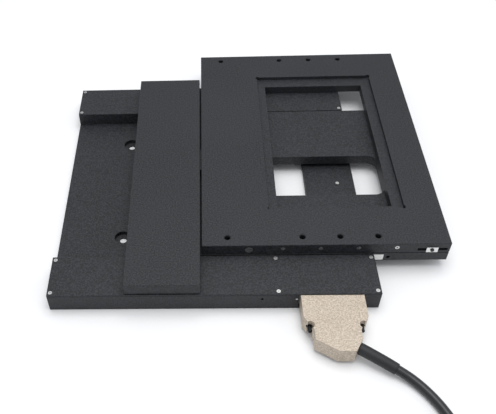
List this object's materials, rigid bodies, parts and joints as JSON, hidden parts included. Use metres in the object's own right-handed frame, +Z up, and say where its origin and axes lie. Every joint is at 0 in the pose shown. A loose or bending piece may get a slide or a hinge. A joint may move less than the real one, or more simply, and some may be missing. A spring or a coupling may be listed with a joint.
{
  "type": "motorised xy scanning stage",
  "caption": "Low-profile motorised XY scanning stage: a carriage slides in a channelled base and carries a top plate with a stepped opening; a cable with a D-sub plug feeds it.",
  "frame": {"origin": "centre of the base's underside", "axes": "+X to the right along the lower slide, +Y to the back along the upper slide, +Z up"},
  "size_m": [0.3442, 0.569, 0.032],
  "materials": {
    "black_anodised": "fine black anodised",
    "bright_steel": "ground",
    "stainless": "polished",
    "black_steel": "black oxide",
    "hood_metal": "warm satin metallic",
    "black_plastic": "matt",
    "cable_black": "satin",
    "boot_black": "satin",
    "bronze": "satin",
    "board_green": "satin",
    "motor_grey": "satin"
  },
  "bodies": {
    "base": {"base_plate": "black_anodised", "front_cover": "black_anodised", "rear_cover": "black_anodised", "cover_screws": "stainless", "small_screws": "stainless", "x_fixed_rails": "bright_steel", "x_motor": "motor_grey", "x_encoder": "black_plastic", "x_motor_mount": "motor_grey", "x_bearing_blocks": "motor_grey", "x_bearings": "bright_steel", "x_limit_switches": "black_plastic", "wiring_board": "board_green", "connector_socket": "motor_grey", "jack_posts": "bright_steel", "plug_insert": "motor_grey", "hood_lower": "hood_metal", "hood_upper": "hood_metal", "cable_boot": "boot_black", "stage_cable": "cable_black", "cable_coil": "cable_black", "cable_tail": "cable_black", "controller_plug_hood": "hood_metal", "controller_plug_insert": "motor_grey", "controller_plug_screws": "black_steel"},
    "carriage": {"carriage_plate": "black_anodised", "drive_cover": "black_anodised", "x_moving_rails": "bright_steel", "x_nut": "bronze", "x_nut_bracket": "black_anodised", "y_fixed_rails": "bright_steel", "y_motor": "motor_grey", "y_encoder": "black_plastic", "y_motor_mount": "motor_grey", "y_bearing_blocks": "motor_grey", "y_bearings": "bright_steel", "y_limit_switches": "black_plastic"},
    "top": {"top_plate": "black_anodised", "y_moving_rails": "bright_steel", "front_set_screws": "stainless", "front_plug": "bright_steel", "flag_plate": "bright_steel", "flag_screw": "black_steel", "y_nut": "bronze", "y_nut_bracket": "black_anodised"},
    "x_spindle": {"x_motor_shaft": "bright_steel", "x_coupling_hubs": "motor_grey", "x_coupling_disc": "black_plastic", "x_screw": "bright_steel"},
    "y_spindle": {"y_motor_shaft": "bright_steel", "y_coupling_hubs": "motor_grey", "y_coupling_disc": "black_plastic", "y_screw": "bright_steel"},
    "x_cage_pair": {"x_cages": "bronze", "x_rollers": "bright_steel"},
    "y_cage_pair": {"y_cages": "bronze", "y_rollers": "bright_steel"},
    "left_jackscrew": {"jackscrew_left": "black_steel"},
    "right_jackscrew": {"jackscrew_right": "black_steel"}
  },
  "joints": [
    {"name": "x_slide", "type": "slide", "parent": "base", "child": "carriage", "axis": [1, 0, 0], "range_m": [-0.13, 0]},
    {"name": "y_slide", "type": "slide", "parent": "carriage", "child": "top", "axis": [0, 1, 0], "range_m": [-0.0845, 0.0005]},
    {"name": "x_cage_slide", "type": "slide", "parent": "base", "child": "x_cage_pair", "axis": [1, 0, 0], "range_m": [-0.0651, 0.0001]},
    {"name": "y_cage_slide", "type": "slide", "parent": "carriage", "child": "y_cage_pair", "axis": [0, 1, 0], "range_m": [-0.0423, 0.0003]},
    {"name": "x_screw_turn", "type": "hinge", "parent": "base", "child": "x_spindle", "pos_m": [0, -0.113, 0.0103], "axis": [1, 0, 0], "range_deg": [-9361, 1]},
    {"name": "y_screw_turn", "type": "hinge", "parent": "carriage", "child": "y_spindle", "pos_m": [-0.0302, 0, 0.0208], "axis": [0, 1, 0], "range_deg": [-6085, 37]},
    {"name": "left_jackscrew_turn", "type": "hinge", "parent": "base", "child": "left_jackscrew", "pos_m": [0.0781, -0.17, 0.0112], "axis": [0, 1, 0], "continuous": true},
    {"name": "right_jackscrew_turn", "type": "hinge", "parent": "base", "child": "right_jackscrew", "pos_m": [0.1203, -0.17, 0.0112], "axis": [0, 1, 0], "continuous": true}
  ],
  "couplings": [
    {"joint": "x_cage_slide", "follows": "x_slide", "ratio": 0.5},
    {"joint": "y_cage_slide", "follows": "y_slide", "ratio": 0.5},
    {"joint": "x_screw_turn", "follows": "x_slide", "rad_per_m": 1256.6},
    {"joint": "y_screw_turn", "follows": "y_slide", "rad_per_m": 1256.6}
  ]
}
